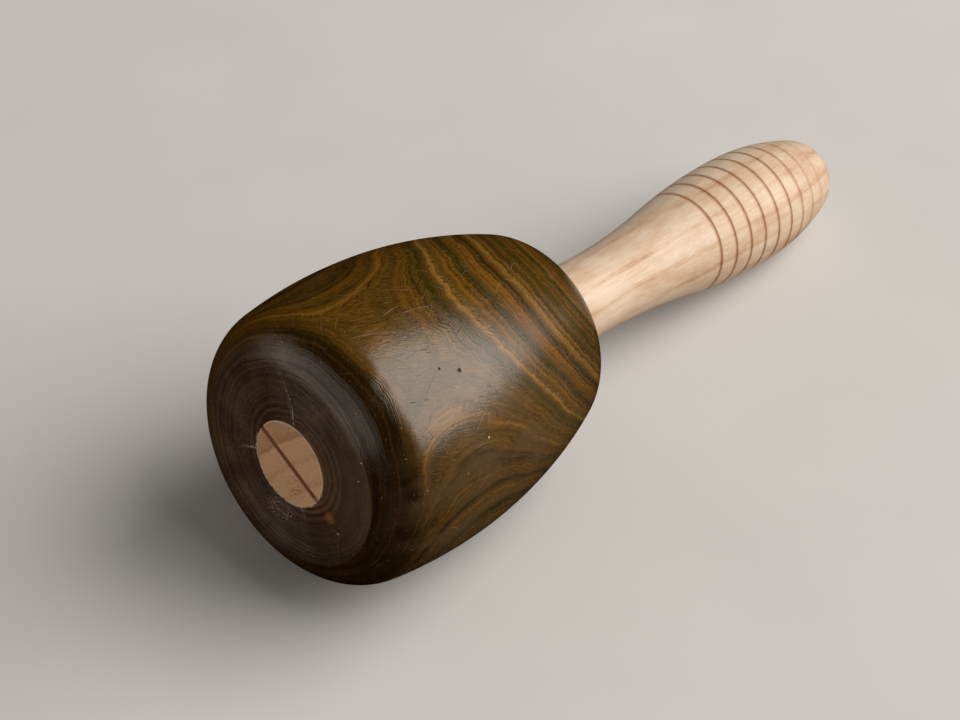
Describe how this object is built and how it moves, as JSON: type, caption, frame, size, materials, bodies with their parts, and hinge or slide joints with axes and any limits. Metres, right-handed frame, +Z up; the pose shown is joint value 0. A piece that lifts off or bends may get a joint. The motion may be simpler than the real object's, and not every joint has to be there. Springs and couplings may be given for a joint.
{
  "type": "carving mallet",
  "caption": "Round wooden carving mallet lying on its side: a turned barrel-shaped head on a slender swelling handle, wedged through the striking end, with grooves burned round the grip.",
  "frame": {"origin": "middle of the underside of the bounding box, on the surface that the mallet lies on", "axes": "+X along the mallet from the striking end towards the end of the grip, +Z up, +Y across; the turning axis lies in the XZ plane and drops towards the grip, because the mallet rests on the bulge of its head and the swell of its grip"},
  "size_m": [0.2406, 0.086, 0.0886],
  "materials": {
    "head_wood": "waxed satin, dense oily hardwood with dark and golden stripes",
    "handle_wood": "smooth satin, pale straight grain, burned grooves",
    "wedge_wood": "matt dark hardwood"
  },
  "bodies": {
    "root": {"head": "head_wood", "handle": "handle_wood", "wedge": "wedge_wood"}
  },
  "joints": []
}
